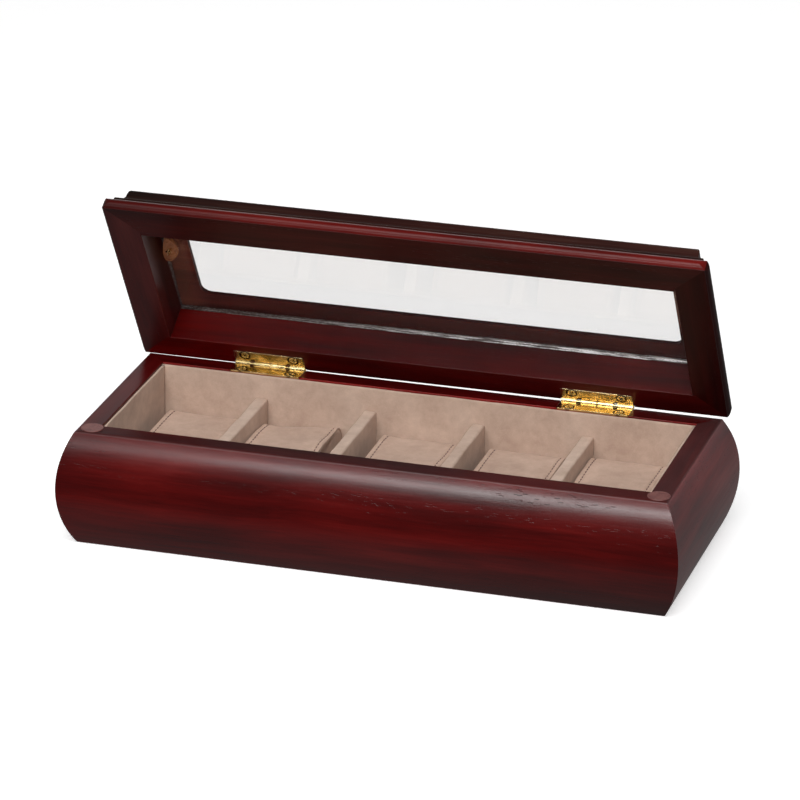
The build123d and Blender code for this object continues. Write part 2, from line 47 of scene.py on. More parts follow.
class Graph:
    """Short calls for building a node tree."""

    def __init__(self, name):
        self.mat = bpy.data.materials.new(name)
        self.mat.use_nodes = True
        self.nt = self.mat.node_tree
        self.nt.nodes.clear()
        self.out = self.nt.nodes.new("ShaderNodeOutputMaterial")
        self.bsdf = self.nt.nodes.new("ShaderNodeBsdfPrincipled")
        self.nt.links.new(self.bsdf.outputs[0], self.out.inputs[0])

    def put(self, socket, value):
        if isinstance(value, bpy.types.NodeSocket):
            self.nt.links.new(value, socket)
        elif value is not None:
            socket.default_value = value

    def coord(self):
        return self.nt.nodes.new("ShaderNodeTexCoord").outputs["Object"]

    def mapping(self, vec, loc=(0, 0, 0), rot=(0, 0, 0), scale=(1, 1, 1)):
        n = self.nt.nodes.new("ShaderNodeMapping")
        self.put(n.inputs["Vector"], vec)
        n.inputs["Location"].default_value = loc
        n.inputs["Rotation"].default_value = rot
        n.inputs["Scale"].default_value = scale
        return n.outputs[0]

    def noise(self, vec, scale=1.0, detail=2.0, rough=0.5, distortion=0.0, color=False):
        n = self.nt.nodes.new("ShaderNodeTexNoise")
        self.put(n.inputs["Vector"], vec)
        n.inputs["Scale"].default_value = scale
        n.inputs["Detail"].default_value = detail
        n.inputs["Roughness"].default_value = rough
        n.inputs["Distortion"].default_value = distortion
        return n.outputs["Color" if color else "Fac"]

    def voronoi(self, vec, scale, feature="F1", out="Distance"):
        n = self.nt.nodes.new("ShaderNodeTexVoronoi")
        n.feature = feature
        self.put(n.inputs["Vector"], vec)
        n.inputs["Scale"].default_value = scale
        return n.outputs[out]

    def math(self, op, a, b=None, clamp=False):
        n = self.nt.nodes.new("ShaderNodeMath")
        n.operation = op
        n.use_clamp = clamp
        self.put(n.inputs[0], a)
        if b is not None:
            self.put(n.inputs[1], b)
        return n.outputs[0]

    def vmath(self, op, a, b=None, scale=None):
        n = self.nt.nodes.new("ShaderNodeVectorMath")
        n.operation = op
        self.put(n.inputs[0], a)
        if b is not None:
            self.put(n.inputs[1], b)
        if scale is not None:
            self.put(n.inputs["Scale"], scale)
        return n.outputs["Value" if op in ("LENGTH", "DOT_PRODUCT") else "Vector"]

    def sep(self, vec):
        n = self.nt.nodes.new("ShaderNodeSeparateXYZ")
        self.put(n.inputs[0], vec)
        return n.outputs

    def remap(self, v, a, b, c=0.0, d=1.0, smooth=False):
        n = self.nt.nodes.new("ShaderNodeMapRange")
        n.interpolation_type = "SMOOTHSTEP" if smooth else "LINEAR"
        self.put(n.inputs["Value"], v)
        n.inputs["From Min"].default_value = a
        n.inputs["From Max"].default_value = b
        n.inputs["To Min"].default_value = c
        n.inputs["To Max"].default_value = d
        return n.outputs[0]

    def mix(self, fac, a, b, blend="MIX"):
        n = self.nt.nodes.new("ShaderNodeMix")
        n.data_type = "RGBA"
        n.blend_type = blend
        self.put(n.inputs[0], fac)
        for i, v in ((6, a), (7, b)):
            self.put(n.inputs[i], v if isinstance(v, bpy.types.NodeSocket) else (*v, 1.0))
        return n.outputs[2]

    def ramp(self, fac, stops):
        n = self.nt.nodes.new("ShaderNodeValToRGB")
        self.put(n.inputs[0], fac)
        els = n.color_ramp.elements
        while len(els) < len(stops):
            els.new(0.5)
        for e, (p, c) in zip(els, stops):
            e.position = p
            e.color = (*c, 1.0)
        return n.outputs[0]

    def bump(self, height, distance, strength=1.0, normal=None):
        n = self.nt.nodes.new("ShaderNodeBump")
        n.inputs["Strength"].default_value = strength
        n.inputs["Distance"].default_value = distance
        self.put(n.inputs["Height"], height)
        if normal is not None:
            self.put(n.inputs["Normal"], normal)
        return n.outputs[0]

    def set(self, **kw):
        for k, v in kw.items():
            s = self.bsdf.inputs[k.replace("_", " ")]
            if isinstance(v, tuple) and len(v) == 3 and s.type == "RGBA":
                v = (*v, 1.0)
            self.put(s, v)
        return self


def lin(r, g, b):
    """sRGB 0-255 to linear."""
    f = lambda c: (c / 255) / 12.92 if c / 255 <= 0.04045 else ((c / 255 + 0.055) / 1.055) ** 2.4
    return (f(r), f(g), f(b))


def times(c, k):
    return tuple(x * k for x in c)


# ---------------------------------------------------------------- materials


def wood(name, grain="X", lid=False, off=(0.0, 0.0, 0.0), tone=1.0, pores=1.0, rough=0.30, coat=0.12, spec=0.36, upper=None, reflection_tint=(1.0, 1.0, 1.0), light_levels=None, run=None, rim=None, lit_inner_face=None, foot_shade=None):
    """Cherry-mahogany stain under a satin lacquer: streaks and open pores along the grain, with painted light, shade
    and reflection laid over it by the options.
    """
    g = Graph(name)
    co = g.coord()
    at = g.sep(co)
    if lid:
        co = g.mapping(co, rot=(math.radians(59.3), 0, 0))
    if grain == "Y":
        co = g.mapping(co, rot=(0, 0, math.radians(90)))
    co = g.mapping(co, loc=off)
    # the grain wanders a little across its run
    wander = g.noise(g.mapping(co, scale=(9, 16, 16)), 1.0, 2.0, 0.5, color=True)
    wander = g.vmath("SUBTRACT", wander, (0.5, 0.5, 0.5))
    co2 = g.vmath("ADD", co, g.vmath("MULTIPLY", wander, (0.0, 0.010, 0.010)))
    streak = g.noise(g.mapping(co2, scale=(8, 130, 130)), 1.0, 5.0, 0.60)
    fibre = g.noise(g.mapping(co2, scale=(40, 1200, 1200)), 1.0, 3.0, 0.6)
    blotch = g.noise(g.mapping(co, scale=(9, 24, 24)), 1.0, 3.0, 0.55)
    t = g.math("ADD", g.math("MULTIPLY", streak, 0.55), g.math("MULTIPLY", blotch, 0.50))
    t = g.math("ADD", t, g.math("MULTIPLY", fibre, 0.12))
    t = g.remap(t, 0.42, 0.76)
    k = tone
    # per board the stain is scaled by tone and greyed by its tint: lit and shaded copies of one wood, the greying a
    # painted reflection
    stain = lambda c: tuple(v * k * q for v, q in zip(c, reflection_tint))
    col = g.ramp(t, [
        (0.0, stain((0.0240, 0.0010, 0.0010))),
        (0.35, stain((0.0480, 0.0013, 0.0013))),
        (0.62, stain((0.0700, 0.0018, 0.0017))),
        (1.0, stain((0.1050, 0.0040, 0.0034))),
    ])
    # open pores: short straight dashes in loose rows along the grain
    # by height in the lid's frame the colour is lifted on the bead as a painted highlight, darkened and greyed on the
    # cove and top moulding as painted shade and reflection, and shifted along a rail as painted light falling off; on
    # the plate a narrow band near its top is darkened
    if light_levels is not None:
        high = g.sep(g.mapping(g.coord(), rot=(math.radians(59.3), 0, 0)))[2]
        for lo, hi, c, *xs in light_levels:
            f = g.remap(high, (UNDER_LEVEL + lo) * MM, (UNDER_LEVEL + hi) * MM, 0.0, 1.0, smooth=True)
            if xs:
                f = g.math("MULTIPLY", f, g.remap(at[0], min(xs), max(xs), *((1.0, 0.0) if xs[0] < xs[1] else (0.0, 1.0))))
            col = g.mix(f, col, g.mix(1.0, col, c, "MULTIPLY"))
    # painted shade: the colour is darkened along the top edge and over the rim top
    if rim is not None:
        f = g.remap(at[2], 0.0588, 0.0593)
        col = g.mix(f, col, g.mix(1.0, col, rim, "MULTIPLY"))
    # painted shade: the colour is darkened and less red towards the bottom, more so to the right; below it a painted
    # highlight, a bright red line along the bottom arris
    if foot_shade is not None:
        f = g.math("MULTIPLY", g.remap(at[2], 0.006, 0.024, 1.0, 0.0, smooth=True), g.remap(at[0], -0.09, 0.12, 0.0, 1.0))
        col = g.mix(f, col, g.mix(1.0, col, foot_shade, "MULTIPLY"))
        f = g.remap(at[2], 0.00025, 0.0006, 1.0, 0.0)
        col = g.mix(f, col, stain((0.20, 0.003, 0.003)))
    # painted light: the board's inner face is made lighter and greyer
    if lit_inner_face is not None:
        f = g.remap(at[1], 0.0455, 0.0459, 1.0, 0.0)
        col = g.mix(f, col, g.mix(1.0, col, lit_inner_face, "MULTIPLY"))
    # painted light: the colour is lifted towards the left end of a rail and falls off along x; with a cut it stops
    # sharply there, which on the plate greys a narrow left border as painted reflection
    if run is not None:
        x0, x1, c, *cut = run
        f = g.remap(at[0], x0, x1, 1.0, 0.0, smooth=True)
        if cut:
            f = g.math("MULTIPLY", f, g.remap(at[0], cut[0] - 0.0008, cut[0], 0.0, 1.0))
        col = g.mix(f, col, g.mix(1.0, col, c, "MULTIPLY"))
    dash = g.voronoi(g.mapping(co, scale=(150, 25 if upper is not None else 1500, 1500)), 1.0)
    dash = g.remap(dash, 0.15, 0.24, 1.0, 0.0)
    rows = g.noise(g.mapping(co, loc=(3.1, 1.7, 0.4), scale=(9, 150, 150)), 1.0, 3.0, 0.65)
    rows = g.remap(rows, 0.52, 0.57)
    pore = g.math("MULTIPLY", dash, rows, clamp=True)
    if upper is not None:
        pore = g.math("MULTIPLY", pore, g.remap(at[2], upper[0], upper[1], 0.10, 1.0, smooth=True))
        pore = g.math("MULTIPLY", pore, g.remap(at[2], 0.0575, 0.0588, 1.0, 0.10))
    pore = g.math("MULTIPLY", pore, pores)
    col = g.mix(pore, col, stain((0.010, 0.0008, 0.0008)))
    ro = g.math("ADD", g.remap(fibre, 0.3, 0.7, rough - 0.02, rough + 0.04), g.math("MULTIPLY", pore, 0.12))
    if rim is not None:
        ro = g.math("ADD", ro, g.remap(at[2], 0.0587, 0.0591, 0.0, 0.30))
    h = g.math("SUBTRACT", g.math("MULTIPLY", fibre, 0.05), g.math("MULTIPLY", pore, 1.0))
    h = g.math("ADD", h, g.math("MULTIPLY", streak, 0.08))
    nrm = g.bump(h, 0.00030, 0.7)
    g.set(Base_Color=col, Roughness=ro, Normal=nrm, Specular_IOR_Level=spec, Coat_Weight=coat, Coat_Roughness=0.16, Coat_IOR=1.5)
    return g.mat


def suede(name, light, dark, off=(0.0, 0.0, 0.0), strength=0.5):
    """Napped microsuede: soft mottling where the pile lies differently, and a fine nap."""
    g = Graph(name)
    co = g.mapping(g.coord(), loc=off)
    big = g.noise(co, 42, 3.0, 0.55, 0.4)
    mid = g.noise(co, 190, 4.0, 0.62, 0.3)
    fine = g.noise(co, 1500, 3.0, 0.7)
    t = g.math("ADD", g.math("MULTIPLY", big, 0.46), g.math("MULTIPLY", mid, 0.38))
    t = g.math("ADD", t, g.math("MULTIPLY", fine, 0.20))
    t = g.remap(t, 0.36, 0.68)
    col = g.mix(t, dark, light)
    h = g.math("ADD", g.math("MULTIPLY", fine, 0.55), g.math("MULTIPLY", mid, 0.6))
    nrm = g.bump(h, 0.00035, strength)
    g.set(Base_Color=col, Roughness=g.remap(mid, 0.3, 0.7, 0.88, 0.98), Normal=nrm, Specular_IOR_Level=0.15,
          Sheen_Weight=0.15, Sheen_Roughness=0.45, Sheen_Tint=(0.95, 0.88, 0.82))
    return g.mat


def brass(name, a=(0.66, 0.48, 0.20), b=(0.92, 0.74, 0.40), rough=(0.10, 0.22), holes=None, turned=False, edge=None):
    """Rolled brass under old lacquer; darker in a ring round each screw at holes (x, y), mm."""
    g = Graph(name)
    co = g.coord()
    flat = g.mapping(co, rot=(math.radians(59.3), 0, 0)) if turned else co
    smear = g.noise(co, 130, 3.0, 0.6)
    brush = g.noise(g.mapping(co, scale=(200, 3200, 3200)), 1.0, 2.0, 0.6)
    col = g.mix(g.remap(smear, 0.34, 0.62), a, b)
    # painted highlight: a pale band along the edge of the lid leaves
    if edge is not None:
        y = g.sep(flat)[1]
        f = g.math("MULTIPLY", g.remap(y, (edge - 0.05) * MM, (edge + 0.12) * MM), g.remap(y, (edge + 0.35) * MM, (edge + 0.6) * MM, 1.0, 0.0))
        col = g.mix(f, col, (0.98, 0.90, 0.78))
    if holes is not None:
        near = None
        for x, y in holes:
            v = g.vmath("MULTIPLY", g.vmath("SUBTRACT", flat, (x * MM, y * MM, 0.0)), (1.0, 1.0, 0.0))
            r = g.vmath("LENGTH", v)
            near = r if near is None else g.math("MINIMUM", near, r)
        ring = g.math("MULTIPLY", g.remap(near, 0.0020, 0.0022, 0.0, 1.0), g.remap(near, 0.0028, 0.0033, 1.0, 0.0))
        col = g.mix(ring, col, (0.05, 0.022, 0.008))
    round_ = g.nt.nodes.new("ShaderNodeBevel")
    round_.samples = 6
    round_.inputs["Radius"].default_value = 0.00022
    nrm = g.bump(g.math("ADD", g.math("MULTIPLY", smear, 0.7), g.math("MULTIPLY", brush, 0.15)), 0.00018, 0.4, normal=round_.outputs[0])
    g.set(Base_Color=col, Metallic=1.0, Roughness=g.remap(smear, 0.3, 0.7, rough[0], rough[1]), Normal=nrm)
    return g.mat


def screw_brass(name, origin, normal):
    """Screw heads: bright face, darker inside the cross recess; origin and normal of the face, mm."""
    g = Graph(name)
    co = g.coord()
    n = Vector(normal).normalized()
    depth = g.vmath("DOT_PRODUCT", g.vmath("SUBTRACT", co, tuple(v * MM for v in origin)), tuple(n))
    smear = g.noise(co, 900, 3.0, 0.6)
    col = g.mix(g.remap(smear, 0.35, 0.65), (0.52, 0.36, 0.13), (0.95, 0.82, 0.50))
    col = g.mix(g.remap(depth, -0.00032, -0.00008, 1.0, 0.0), col, (0.045, 0.020, 0.008))
    round_ = g.nt.nodes.new("ShaderNodeBevel")
    round_.samples = 6
    round_.inputs["Radius"].default_value = 0.00030
    g.set(Base_Color=col, Metallic=1.0, Roughness=g.remap(smear, 0.3, 0.7, 0.16, 0.28), Normal=g.bump(smear, 0.00012, 0.4, normal=round_.outputs[0]))
    return g.mat


def glass(name):
    g = Graph(name)
    co = g.coord()
    haze = g.noise(co, 18, 2.0, 0.5)
    g.set(Base_Color=g.mix(haze, (0.795, 0.791, 0.787), (0.812, 0.806, 0.801)), Roughness=0.0, IOR=1.5, Transmission_Weight=1.0)
    # lamps reach the lining through the pane
    path = g.nt.nodes.new("ShaderNodeLightPath")
    clear = g.nt.nodes.new("ShaderNodeBsdfTransparent")
    clear.inputs[0].default_value = (0.86, 0.87, 0.86, 1)
    both = g.nt.nodes.new("ShaderNodeMixShader")
    g.nt.links.new(path.outputs["Is Shadow Ray"], both.inputs[0])
    g.nt.links.new(g.bsdf.outputs[0], both.inputs[1])
    g.nt.links.new(clear.outputs[0], both.inputs[2])
    g.nt.links.new(both.outputs[0], g.out.inputs[0])
    return g.mat


def sealant(name):
    """Clear bead along the pane, painted: two bright edges that are painted highlights over a dark core of painted
    reflection, dimmer towards the left end as painted light falls off, with a faint glow.
    """
    g = Graph(name)
    co = g.mapping(g.coord(), rot=(math.radians(59.3), 0, 0))
    pos = g.sep(g.coord())
    high = g.sep(co)[2]
    pane = PANE_LEVEL * MM
    run = g.noise(g.mapping(co, scale=(110, 500, 500)), 1.0, 3.0, 0.6)
    fine = g.noise(g.mapping(co, scale=(800, 2600, 2600)), 1.0, 2.0, 0.6)
    fleck = g.noise(g.mapping(co, scale=(60, 1700, 1700)), 1.0, 2.0, 0.6)
    high = g.math("ADD", high, g.math("MULTIPLY", g.math("SUBTRACT", run, 0.5), 0.0005))
    # the mask of the painted highlight along the bead
    line = g.math("MULTIPLY", g.remap(high, pane - 0.00140, pane - 0.00115, 0.0, 1.0, smooth=True), g.remap(high, pane - 0.00040, pane - 0.00015, 1.0, 0.45, smooth=True))
    line = g.math("MULTIPLY", line, g.remap(fleck, 0.45, 0.52, 0.16, 1.0))
    line = g.math("MULTIPLY", line, g.remap(g.math("ADD", g.math("MULTIPLY", run, 0.6), g.math("MULTIPLY", fine, 0.4)), 0.34, 0.52, 0.3, 1.0))
    # painted light falls off towards the left end
    line = g.math("MULTIPLY", line, g.remap(pos[0], -0.11, 0.07, 0.14, 1.0, smooth=True))
    # painted reflection: a dark core under bright painted highlights
    col = g.mix(line, (0.050, 0.028, 0.024), (0.96, 0.95, 0.94))
    # the bright edges also glow by emission, painted light from a part that is no lamp
    g.set(Base_Color=col, Metallic=0.1, Roughness=g.remap(fine, 0.3, 0.7, 0.15, 0.35), Normal=g.bump(run, 0.0004, 0.5),
          Emission_Color=(0.95, 0.95, 0.96), Emission_Strength=g.math("MULTIPLY", g.math("MULTIPLY", line, line), 0.22))
    return g.mat


def plastic(name, a, b, rough, sub=0.0, trans=0.0):
    g = Graph(name)
    co = g.coord()
    swirl = g.noise(co, 330, 3.0, 0.6, 0.8)
    fine = g.noise(co, 2400, 2.0, 0.5)
    nrm = g.bump(fine, 0.00008, 0.35)
    g.set(Base_Color=g.mix(g.remap(swirl, 0.35, 0.65), a, b), Roughness=g.remap(fine, 0.3, 0.7, rough - 0.05, rough + 0.08), Normal=nrm,
          Subsurface_Weight=sub, Subsurface_Radius=(0.9, 0.5, 0.4), Subsurface_Scale=0.0012, Transmission_Weight=trans)
    return g.mat


def felt(name, a, b):
    g = Graph(name)
    co = g.coord()
    f = g.noise(co, 1100, 4.0, 0.7, 0.6)
    m = g.noise(co, 90, 3.0, 0.6)
    t = g.math("ADD", g.math("MULTIPLY", f, 0.6), g.math("MULTIPLY", m, 0.4))
    g.set(Base_Color=g.mix(g.remap(t, 0.35, 0.65), a, b), Roughness=0.95, Normal=g.bump(f, 0.0004, 0.7), Sheen_Weight=0.3, Sheen_Roughness=0.5)
    return g.mat


def foam(name):
    g = Graph(name)
    co = g.coord()
    cells = g.voronoi(co, 1400)
    g.set(Base_Color=g.mix(g.remap(cells, 0.1, 0.6), (0.42, 0.38, 0.28), (0.70, 0.66, 0.54)), Roughness=0.9, Normal=g.bump(cells, 0.0004, 0.8))
    return g.mat


def plywood(name):
    g = Graph(name)
    co = g.coord()
    s = g.noise(g.mapping(co, scale=(9, 130, 130)), 1.0, 5.0, 0.6)
    f = g.noise(g.mapping(co, scale=(60, 1500, 1500)), 1.0, 2.0, 0.5)
    g.set(Base_Color=g.mix(g.remap(s, 0.35, 0.65), (0.30, 0.17, 0.08), (0.50, 0.32, 0.17)), Roughness=0.6, Normal=g.bump(f, 0.0002, 0.5))
    return g.mat


def thread(name):
    g = Graph(name)
    co = g.coord()
    tw = g.noise(co, 3200, 2.0, 0.6)
    g.set(Base_Color=g.mix(g.remap(tw, 0.35, 0.65), lin(52, 24, 20), lin(88, 50, 44)), Roughness=0.75, Normal=g.bump(tw, 0.0001, 0.6), Sheen_Weight=0.15)
    return g.mat


LEAF_SCREWS = (-98.1, -72.5, 73.5, 99.1)
PANE_LEVEL = 99.177       # height of the pane's lower face with the frame turned back by the lid's angle, mm
UNDER_LEVEL = 78.897      # the lid's underside in the same frame, mm
SUEDE_L, SUEDE_D = lin(214, 189, 171), lin(184, 157, 140)
# tone and tint differ from board to board to match how each face is lit: painted light and shade, with painted
# reflection where a board is greyed
M = {
    "front": wood("wood_front_board", "X", off=(0.31, 0.0, 0.02), tone=1.45, rough=0.23, spec=0.42, coat=0.14, upper=(0.043, 0.051), pores=0.9, rim=(0.55, 0.6, 0.6), foot_shade=(0.45, 1.0, 1.0)),
    "back": wood("wood_back_board", "X", off=(1.13, 0.3, 0.1), tone=1.2, upper=(0.034, 0.046), spec=0.2, coat=0.06, lit_inner_face=(3.2, 5.0, 4.0)),
    "left": wood("wood_left_board", "Y", off=(2.2, 0.4, 0.3), pores=0.5),
    "right": wood("wood_right_board", "Y", off=(3.4, 0.1, 0.7), pores=0.5, tone=2.9, rough=0.42, spec=0.5, reflection_tint=(1.0, 4.2, 4.6), rim=(0.28, 0.2, 0.2)),
    "lfront": wood("wood_lid_front", "X", lid=True, off=(4.2, 0.2, 0.1), tone=0.75, pores=0.3, spec=0.17, coat=0.05, reflection_tint=(1.0, 2.2, 1.8),
                   light_levels=[(0.1, 0.6, (2.3, 1.8, 1.8)), (7.0, 8.6, (0.24, 1.5, 1.5)), (0.1, 0.6, (0.58, 0.8, 0.8), -0.15, -0.04), (0.1, 0.6, (1.35, 1.5, 1.5), 0.12, 0.0)]),
    "lrear": wood("wood_lid_rear", "X", lid=True, off=(5.3, 0.6, 0.2), tone=1.0, pores=0.3, spec=0.20, coat=0.06, run=(-0.136, -0.02, (2.0, 0.8, 0.8))),
    "lleft": wood("wood_lid_left", "Y", lid=True, off=(6.1, 0.9, 0.2), tone=1.0, pores=0.3, spec=0.20, coat=0.06, reflection_tint=(1.0, 3.5, 3.5),
                  light_levels=[(7.0, 8.6, (0.7, 0.8, 0.8))]),
    "lright": wood("wood_lid_right", "Y", lid=True, off=(7.7, 0.2, 0.8), tone=0.50, pores=0.3, spec=0.12, coat=0.04, reflection_tint=(1.0, 2.2, 1.6)),
    "plate": wood("wood_lid_plate", "X", lid=True, off=(8.5, 0.5, 0.5), tone=1.15, pores=0.5, spec=0.24, coat=0.06, reflection_tint=(1.0, 6.0, 4.2),
                  run=(-0.136, -0.118, (3.4, 7.0, 7.0), -0.1375), light_levels=[(22.9, 23.6, (0.30, 0.16, 0.2))]),
    "lining": suede("suede_lining", SUEDE_L, SUEDE_D),
    "divider": suede("suede_divider", lin(214, 190, 173), lin(186, 160, 143), off=(0.5, 0.2, 0.1)),
    "pillow": suede("suede_pillow", lin(206, 178, 160), lin(178, 150, 133), off=(0.9, 0.7, 0.3)),
    "brass": brass("polished_brass"),
    "leaf_base": brass("brass_base_leaves", holes=[(x, 48.30) for x in LEAF_SCREWS]),
    "leaf_lid": brass("brass_lid_leaves", holes=[(x, -29.103) for x in LEAF_SCREWS], turned=True, edge=-31.903),
    "screw_base": screw_brass("brass_base_screws", (0.0, 48.3, 59.67), (0, 0, 1)),
    "screw_lid": screw_brass("brass_lid_screws", (0.000, 52.878, 65.243), (0.000, -0.860, -0.511)),
    "screw_clip": screw_brass("brass_clip_screw", (-133.385, 39.829, 121.928), (0.970, -0.208, -0.124)),
    "glass": glass("window_glass"),
    "sealant": sealant("clear_sealant"),
    "clip": plastic("clip_plastic", lin(150, 92, 62), lin(188, 122, 80), 0.28, sub=0.15),
    "bumper": plastic("bumper_soft_plastic", lin(112, 70, 68), lin(134, 90, 85), 0.40, sub=0.2),
    "felt": felt("base_felt", lin(38, 26, 24), lin(62, 44, 40)),
    "foam": foam("pillow_foam"),
    "ply": plywood("bottom_plywood"),
    "thread": thread("brown_thread"),
}

NODE_MAT = {
    "front_board": "front", "back_board": "back", "left_end_board": "left", "right_end_board": "right",
    "bottom_panel": "ply", "base_felt": "felt", "floor_lining": "lining", "front_lining": "lining", "rear_lining": "lining",
    "left_lining": "lining", "right_lining": "lining", "rim_bumper_left": "bumper", "rim_bumper_right": "bumper",
    "hinge_base_leaf_left": "leaf_base", "hinge_base_leaf_right": "leaf_base", "hinge_pin_left": "brass", "hinge_pin_right": "brass",
    "base_hinge_screws": "screw_base", "lid_hinge_screws": "screw_lid", "glass_clip_screw": "screw_clip",
    "hinge_lid_leaf_left": "leaf_lid", "hinge_lid_leaf_right": "leaf_lid",
    "lid_front_rail": "lfront", "lid_rear_rail": "lrear", "lid_left_rail": "lleft", "lid_right_rail": "lright",
    "lid_top_plate": "plate", "glass_pane": "glass", "glass_clip": "clip",
}
for i in range(1, 5):
    NODE_MAT[f"divider_{i}"] = "divider"
for i in range(1, 6):
    NODE_MAT[f"pillow_{i}_cover"] = "pillow"
    NODE_MAT[f"pillow_{i}_foam"] = "foam"


def dress(obj, mat):
    obj.data.materials.clear()
    obj.data.materials.append(mat)


for n, key in NODE_MAT.items():
    dress(NODES[n], M[key])
for n, o in NODES.items():
    assert n in NODE_MAT, n

# ------------------------------------------------------------------ modelled soft pieces
COL = bpy.context.scene.collection


def hermite(xs, ys, xq):
    """Smooth interpolation of rows ys (n, ...) given at xs, at the positions xq."""
    m = np.gradient(ys, xs, axis=0)
    i = np.clip(np.searchsorted(xs, xq, side="right") - 1, 0, len(xs) - 2)
    h = (xs[i + 1] - xs[i])
    t = (xq - xs[i]) / h
    sh = (-1,) + (1,) * (ys.ndim - 1)
    t, h = t.reshape(sh), h.reshape(sh)
    return ((2 * t**3 - 3 * t**2 + 1) * ys[i] + (t**3 - 2 * t**2 + t) * h * m[i]
            + (-2 * t**3 + 3 * t**2) * ys[i + 1] + (t**3 - t**2) * h * m[i + 1])


def wrap_rows(p, n):
    """Catmull-Rom resampling of the closed rows p (s, ...) to n rows."""
    s = p.shape[0]
    u = np.arange(n) * s / n
    i = np.floor(u).astype(int)
    f = (u - i).reshape((-1,) + (1,) * (p.ndim - 1))
    a, b, c, d = p[(i - 1) % s], p[i % s], p[(i + 1) % s], p[(i + 2) % s]
    return 0.5 * (2 * b + (c - a) * f + (2 * a - 5 * b + 4 * c - d) * f**2 + (3 * b - a - 3 * c + d) * f**3)


def smooth01(v):
    v = np.clip(v, 0, 1)
    return v * v * (3 - 2 * v)


def field(pts, scale, seed):
    """Smooth noise, about -1 to 1, at the points (mm)."""
    o = Vector((seed * 7.31, seed * 3.17, seed * 1.93))
    flat = pts.reshape(-1, 3)
    out = np.array([noise.noise(Vector(q) * scale + o) for q in flat])
    return out.reshape(pts.shape[:-1])


def tube_mesh(name, grid, cap=True):
    """grid (s, c, 3) in mm: closed round s, open along c with both ends filled."""
    s, c, _ = grid.shape
    co = grid.reshape(-1, 3) * MM
    faces = []
    for i in range(s):
        j = (i + 1) % s
        for k in range(c - 1):
            faces.append((i * c + k, i * c + k + 1, j * c + k + 1, j * c + k))
    if cap:
        faces.append(tuple(i * c for i in range(s)))
        faces.append(tuple(i * c + c - 1 for i in reversed(range(s))))
    me = bpy.data.meshes.new(name)
    me.from_pydata([tuple(v) for v in co], [], faces)
    me.update()
    bm = bmesh.new()
    bm.from_mesh(me)
    bmesh.ops.recalc_face_normals(bm, faces=bm.faces)
    bm.to_mesh(me)
    bm.free()
    for p in me.polygons:
        p.use_smooth = True
    ob = bpy.data.objects.new(name, me)
    COL.objects.link(ob)
    return ob


def grid_normals(g):
    ds = np.roll(g, -1, 0) - np.roll(g, 1, 0)
    dc = np.gradient(g, axis=1)
    n = np.cross(ds, dc)
    n /= np.maximum(np.linalg.norm(n, axis=2, keepdims=True), 1e-9)
    mid = g.reshape(-1, 3).mean(0)
    if ((g - mid) * n).sum() < 0:
        n = -n
    return n


def rounded_loop(d, h, r, n):
    """Points (y, z) round a rounded rectangle, evenly spaced, from the middle of the top towards the back."""
    segs = []
    a, b = d / 2 - r, h / 2 - r
    total = 4 * a + 4 * b + 2 * math.pi * r
    pts = []
    for i in range(n):
        t = total * i / n
        marks = [(a, "t1"), (math.pi * r / 2, "c1"), (2 * b, "r"), (math.pi * r / 2, "c2"), (2 * a, "b"),
                 (math.pi * r / 2, "c3"), (2 * b, "l"), (math.pi * r / 2, "c4"), (a, "t2")]
        for length, tag in marks:
            if t <= length + 1e-9:
                break
            t -= length
        q = t / r
        pts.append({
            "t1": (t, h / 2), "c1": (a + r * math.sin(q), b + r * math.cos(q)), "r": (d / 2, b - t),
            "c2": (a + r * math.cos(q), -b - r * math.sin(q)), "b": (a - t, -h / 2),
            "c3": (-a - r * math.sin(q), -b - r * math.cos(q)), "l": (-d / 2, -b + t),
            "c4": (-a - r * math.cos(q), b + r * math.sin(q)), "t2": (-a + t, h / 2)}[tag])
    return np.array(pts)


# name: middle of the band, how far the left and right end panels may puff, seed
PILLOWS = {
    1: (-113.2, 2.6, 3.0, 11.0),
    2: (-62.55, 0.25, 3.3, 23.0),
    3: (0.2, 2.8, 2.8, 37.0),
    4: (56.0, 2.8, 3.0, 41.0),
    5: (108.1, 0.25, 3.2, 59.0),
}
P_HB = 19.75             # half width of the band between its seams
P_Y, P_LOW, P_HIGH = -0.1, 6.85, 37.35
P_DEPTH, P_ROUND = 85.0, 9.0
STITCH = 2.7             # topstitching, in from the seam
S_N = 72
Q_BASE = np.array([0.05, 0.28, 0.5, 0.7, 0.86, 0.95, 1.0])
X_BASE = np.array([-1.0, -0.93, -0.8, -0.6, -0.36, -0.12, 0.12, 0.36, 0.6, 0.8, 0.93, 1.0]) * P_HB


def pillow_base():
    """Rows round the section, columns from one end panel's middle over the band to the other's."""
    loop = rounded_loop(P_DEPTH, P_HIGH - P_LOW, P_ROUND, S_N)
    zc = (P_HIGH + P_LOW) / 2
    cols, tags = [], []
    for q in Q_BASE[:-1]:
        cols.append(np.column_stack([np.full(S_N, -P_HB - 0.6 * (1 - q * q)), loop[:, 0] * q + P_Y, loop[:, 1] * q + zc]))
        tags.append(("L", q))
    for x in X_BASE:
        cols.append(np.column_stack([np.full(S_N, x), loop[:, 0] + P_Y, loop[:, 1] + zc]))
        tags.append(("B", x))
    for q in Q_BASE[:-1][::-1]:
        cols.append(np.column_stack([np.full(S_N, P_HB + 0.6 * (1 - q * q)), loop[:, 0] * q + P_Y, loop[:, 1] * q + zc]))
        tags.append(("R", q))
    return np.stack(cols, axis=1), tags


BASE, TAGS = pillow_base()
C_N = len(TAGS)
i_seam_l = len(Q_BASE) - 1
i_seam_r = C_N - len(Q_BASE)


